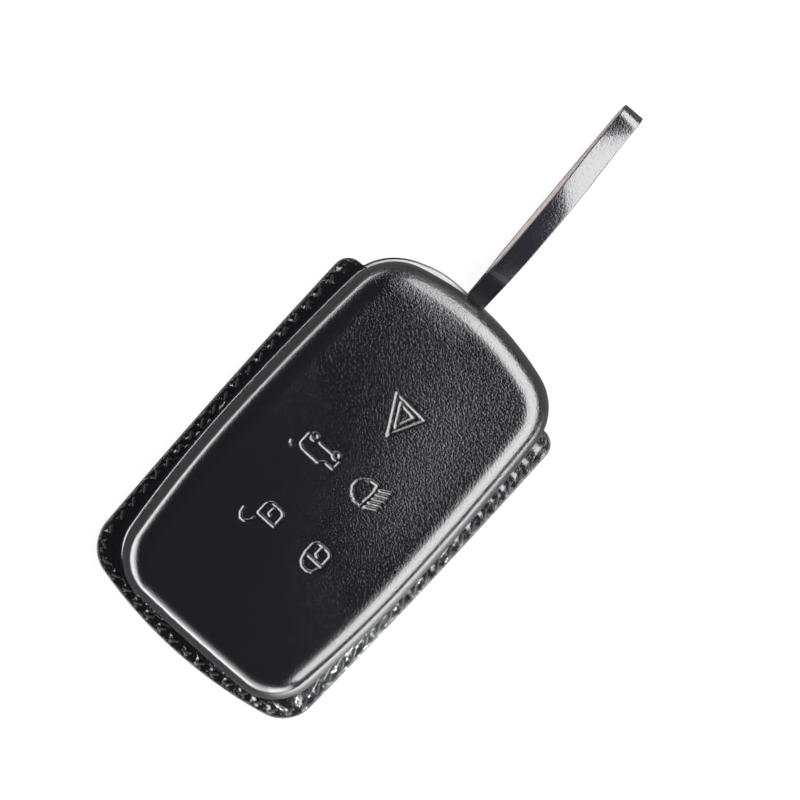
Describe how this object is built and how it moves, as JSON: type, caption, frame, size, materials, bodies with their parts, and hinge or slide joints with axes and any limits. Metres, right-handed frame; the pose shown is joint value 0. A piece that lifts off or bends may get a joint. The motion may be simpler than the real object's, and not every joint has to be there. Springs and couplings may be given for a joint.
{
  "type": "key fob cover",
  "caption": "Moulded leather cover that a car key slides into: crowned front, stitched rim, light lining, open mouth, flat back and a swinging leather carry loop.",
  "frame": {"origin": "on the flat outer face of the back, at the middle of its width and halfway from the closed end to the mouth", "axes": "+X across the cover, +Y along it towards the mouth and the carry loop, +Z out of the moulded front"},
  "size_m": [0.0606, 0.1499, 0.018],
  "materials": {
    "front_leather": "smooth moulded black leather with a satin gloss and fine grain",
    "back_leather": "flat black grain leather",
    "strap_leather": "black grain leather with painted edges",
    "strap_lining": "light split leather, matt",
    "lining": "light brushed microfibre",
    "board": "pressed fibre board",
    "thread": "twisted black polyester thread"
  },
  "bodies": {
    "cover": {"front_shell": "front_leather", "shell_board": "board", "shell_lining": "lining", "back_panel": "back_leather", "back_board": "board", "back_lining": "lining", "needle_thread": "thread", "bobbin_thread": "thread", "strap_root": "strap_leather", "tack_thread": "thread"},
    "carry_loop": {"strap_leather": "strap_leather", "strap_lining": "strap_lining"}
  },
  "joints": [
    {"name": "loop_swing", "type": "hinge", "parent": "cover", "child": "carry_loop", "pos_m": [-0.0031, 0.0508, 0.003], "axis": [0.999, 0.0436, 0], "range_deg": [-90, 55]}
  ]
}
